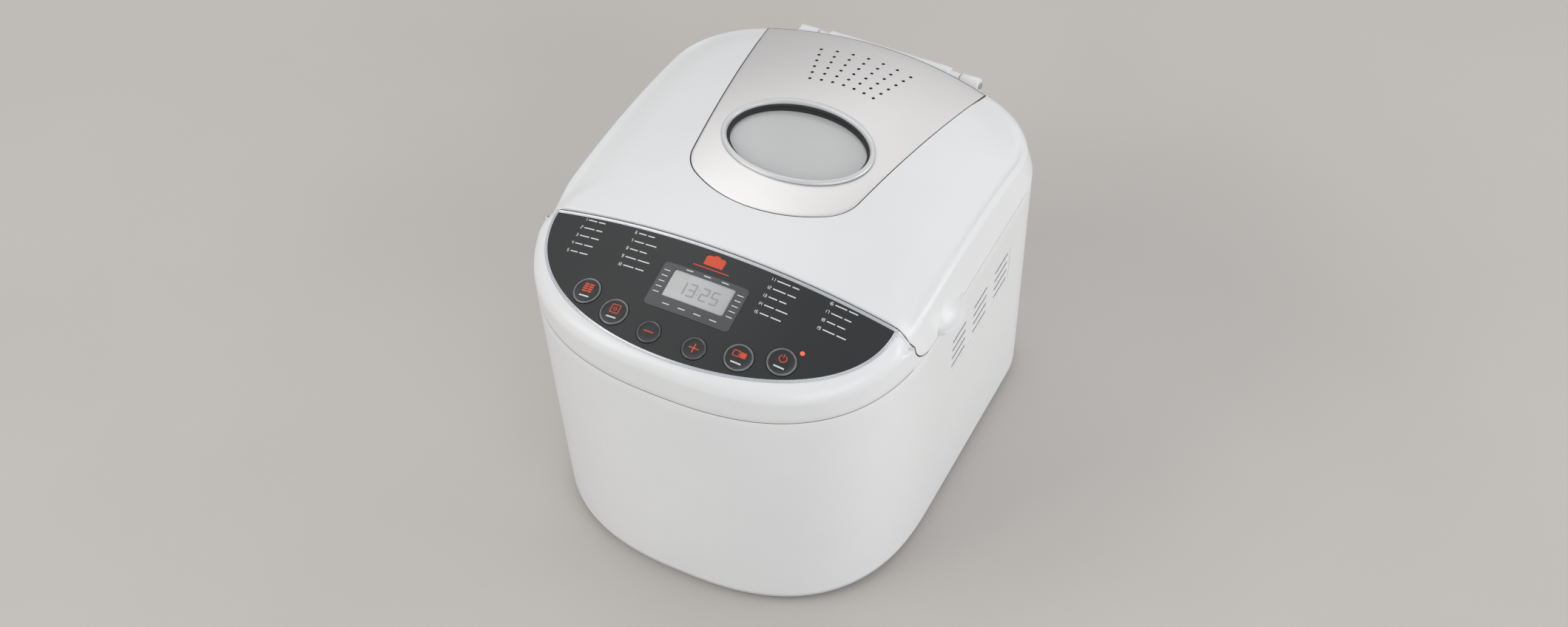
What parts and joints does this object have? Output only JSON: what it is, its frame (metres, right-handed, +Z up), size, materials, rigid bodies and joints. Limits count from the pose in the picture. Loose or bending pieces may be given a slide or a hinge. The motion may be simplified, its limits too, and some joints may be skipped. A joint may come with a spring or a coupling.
{
  "type": "bread machine",
  "caption": "Household bread machine with a domed hinged lid and oval window, a sloping control panel with push buttons, and a lift-out pan with bail and kneading paddle.",
  "frame": {"origin": "on the table under the machine, at the centre of its overall width and depth", "axes": "+X to the right seen from the front, +Y towards the hinge at the back, +Z up"},
  "size_m": [0.3, 0.35, 0.2579],
  "materials": {
    "white_body": "satin white moulded shell",
    "base_grey": "matt grey moulding",
    "black_plastic": "matt black moulding",
    "rubber_black": "soft black rubber",
    "rubber_grey": "soft grey silicone",
    "panel_charcoal": "satin charcoal",
    "bezel_silver": "bright silver",
    "screen": "pale display window",
    "display_surround": "dark grey",
    "board": "green circuit board",
    "light": "red lens",
    "steel": "brushed",
    "zinc": "bright zinc",
    "chamber_steel": "plain sheet",
    "nonstick": "non-stick coating",
    "element": "heat-darkened",
    "ceramic": "glazed ceramic",
    "brass": "turned",
    "glass": "clear"
  },
  "bodies": {
    "base": {"outer_housing": "white_body", "base_plate": "base_grey", "feet": "rubber_black", "base_screws": "zinc", "hinge_ears": "white_body", "cord_gland": "black_plastic", "control_shroud": "white_body", "panel_bezel": "bezel_silver", "control_panel": "panel_charcoal", "display_frame": "display_surround", "display_screen": "screen", "control_board": "board", "tact_switches": "black_plastic", "status_light": "light", "power_board": "board", "chamber_deck": "base_grey", "baking_chamber": "chamber_steel", "chamber_posts": "zinc", "pan_seat": "steel", "shaft_bush": "brass", "heating_element": "element", "element_clips": "steel", "element_insulators": "ceramic", "temperature_sensor": "steel", "thermal_cutout": "ceramic", "motor": "zinc", "motor_bracket": "zinc", "motor_capacitor": "base_grey", "drive_belt": "rubber_black"},
    "lid": {"lid_shell": "white_body", "lid_liner": "chamber_steel", "lid_seal": "rubber_grey", "lid_insert": "steel", "window_ring": "white_body", "window_gasket": "rubber_black", "window_glass": "glass", "hinge_pins": "zinc", "liner_screws": "zinc"},
    "motor_rotor": {"motor_shaft": "steel", "small_pulley": "base_grey"},
    "drive": {"drive_shaft": "steel", "large_pulley": "base_grey", "drive_coupling": "steel"},
    "pan": {"bread_pan": "nonstick", "pan_foot_ring": "steel"},
    "bail": {"bail_handle": "steel", "bail_grip": "black_plastic"},
    "paddle": {"pan_shaft": "steel", "pan_coupling": "steel", "kneading_paddle": "nonstick"},
    "menu_button": {"menu_button": "panel_charcoal"},
    "loaf_button": {"loaf_button": "panel_charcoal"},
    "minus_button": {"minus_button": "panel_charcoal"},
    "plus_button": {"plus_button": "panel_charcoal"},
    "crust_button": {"crust_button": "panel_charcoal"},
    "start_button": {"start_button": "panel_charcoal"}
  },
  "joints": [
    {"name": "lid_hinge", "type": "hinge", "parent": "base", "child": "lid", "pos_m": [0, 0.168, 0.214], "axis": [-1, 0, 0], "range_deg": [0, 85]},
    {"name": "menu_button_press", "type": "slide", "parent": "base", "child": "menu_button", "axis": [0, 0.2233, -0.9748], "range_m": [0, 0.0008], "stiffness_N_per_m": 1500},
    {"name": "loaf_button_press", "type": "slide", "parent": "base", "child": "loaf_button", "axis": [0, 0.2233, -0.9748], "range_m": [0, 0.0008], "stiffness_N_per_m": 1500},
    {"name": "minus_button_press", "type": "slide", "parent": "base", "child": "minus_button", "axis": [0, 0.2233, -0.9748], "range_m": [0, 0.0008], "stiffness_N_per_m": 1500},
    {"name": "plus_button_press", "type": "slide", "parent": "base", "child": "plus_button", "axis": [0, 0.2233, -0.9748], "range_m": [0, 0.0008], "stiffness_N_per_m": 1500},
    {"name": "crust_button_press", "type": "slide", "parent": "base", "child": "crust_button", "axis": [0, 0.2233, -0.9748], "range_m": [0, 0.0008], "stiffness_N_per_m": 1500},
    {"name": "start_button_press", "type": "slide", "parent": "base", "child": "start_button", "axis": [0, 0.2233, -0.9748], "range_m": [0, 0.0008], "stiffness_N_per_m": 1500},
    {"name": "drive_spin", "type": "hinge", "parent": "base", "child": "drive", "pos_m": [0, 0.037, 0.02], "axis": [0, 0, 1], "continuous": true},
    {"name": "motor_spin", "type": "hinge", "parent": "base", "child": "motor_rotor", "pos_m": [0.045, -0.127, 0.02], "axis": [0, 0, 1], "continuous": true},
    {"name": "pan_lift", "type": "slide", "parent": "base", "child": "pan", "axis": [0, 0, 1], "range_m": [0, 0.01]},
    {"name": "paddle_spin", "type": "hinge", "parent": "pan", "child": "paddle", "pos_m": [0, 0.037, 0.05], "axis": [0, 0, 1], "continuous": true},
    {"name": "bail_swing", "type": "hinge", "parent": "pan", "child": "bail", "pos_m": [0, 0.037, 0.1665], "axis": [0, -1, 0], "range_deg": [0, 180]}
  ],
  "couplings": [
    {"joint": "motor_spin", "follows": "drive_spin", "ratio": 5},
    {"joint": "paddle_spin", "follows": "drive_spin", "ratio": 1}
  ]
}
